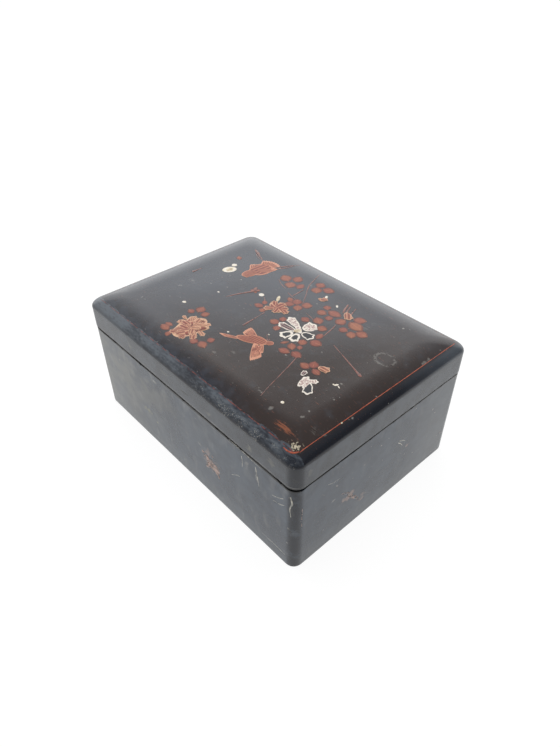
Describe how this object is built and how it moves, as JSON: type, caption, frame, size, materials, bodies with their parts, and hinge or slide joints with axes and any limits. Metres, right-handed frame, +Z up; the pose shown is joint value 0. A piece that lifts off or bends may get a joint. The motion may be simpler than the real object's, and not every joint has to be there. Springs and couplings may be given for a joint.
{
  "type": "japanese suzuri ink box",
  "caption": "Black lacquer writing box with a flush domed lid, a lift-out tray, an inkstone, a water dropper, an ink stick and capped brushes.",
  "frame": {"origin": "middle of the underside, on the surface that the box stands on", "axes": "+X along the long side, +Y to the back, +Z up; the long front face is at -Y"},
  "size_m": [0.2506, 0.1806, 0.1153],
  "materials": {
    "outer_lacquer": "aged satin black lacquer on wood",
    "inner_lacquer": "semi-gloss black lacquer on wood",
    "slate": "honed slate",
    "copper": "brown patinated copper",
    "ink": "pressed soot ink",
    "bamboo": "polished bamboo",
    "horn": "polished black horn",
    "hair": "brush hair"
  },
  "bodies": {
    "base": {"base_floor": "outer_lacquer", "base_front_wall": "outer_lacquer", "base_back_wall": "outer_lacquer", "base_left_wall": "outer_lacquer", "base_right_wall": "outer_lacquer", "liner_front": "inner_lacquer", "liner_back": "inner_lacquer", "liner_left": "inner_lacquer", "liner_right": "inner_lacquer", "tray_ledges": "inner_lacquer"},
    "lid": {"lid_top_board": "outer_lacquer", "lid_front_rail": "outer_lacquer", "lid_back_rail": "outer_lacquer", "lid_left_rail": "outer_lacquer", "lid_right_rail": "outer_lacquer"},
    "tray": {"tray_floor": "inner_lacquer", "tray_front_wall": "inner_lacquer", "tray_back_wall": "inner_lacquer", "tray_left_wall": "inner_lacquer", "tray_right_wall": "inner_lacquer", "tray_divider": "inner_lacquer", "fitted_board": "inner_lacquer", "brush_rests": "inner_lacquer"},
    "stone": {"inkstone": "slate"},
    "dropper": {"dropper_body": "copper", "dropper_top": "copper"},
    "stick": {"ink_stick": "ink"},
    "large_brush": {"large_brush_tail": "horn", "large_brush_handle": "bamboo", "large_brush_ferrule": "horn", "large_brush_hair": "hair"},
    "large_cap": {"large_brush_cap": "bamboo"},
    "small_brush": {"small_brush_tail": "horn", "small_brush_handle": "bamboo", "small_brush_ferrule": "horn", "small_brush_hair": "hair"},
    "small_cap": {"small_brush_cap": "bamboo"}
  },
  "joints": [
    {"name": "tray_lift", "type": "slide", "parent": "base", "child": "tray", "axis": [0, 0, 1], "range_m": [0, 0.09]},
    {"name": "lid_lift", "type": "slide", "parent": "tray", "child": "lid", "axis": [0, 0, 1], "range_m": [0, 0.13]},
    {"name": "stone_lift", "type": "slide", "parent": "tray", "child": "stone", "axis": [0, 0, 1], "range_m": [0, 0.0215]},
    {"name": "dropper_lift", "type": "slide", "parent": "tray", "child": "dropper", "axis": [0, 0, 1], "range_m": [0, 0.0215]},
    {"name": "stick_lift", "type": "slide", "parent": "tray", "child": "stick", "axis": [0, 0, 1], "range_m": [0, 0.0215]},
    {"name": "large_brush_lift", "type": "slide", "parent": "tray", "child": "large_brush", "axis": [0, 0, 1], "range_m": [0, 0.0215]},
    {"name": "large_cap_pull", "type": "slide", "parent": "large_brush", "child": "large_cap", "axis": [1, 0, 0], "range_m": [0, 0.0455]},
    {"name": "small_brush_lift", "type": "slide", "parent": "tray", "child": "small_brush", "axis": [0, 0, 1], "range_m": [0, 0.0215]},
    {"name": "small_cap_pull", "type": "slide", "parent": "small_brush", "child": "small_cap", "axis": [1, 0, 0], "range_m": [0, 0.033]}
  ]
}
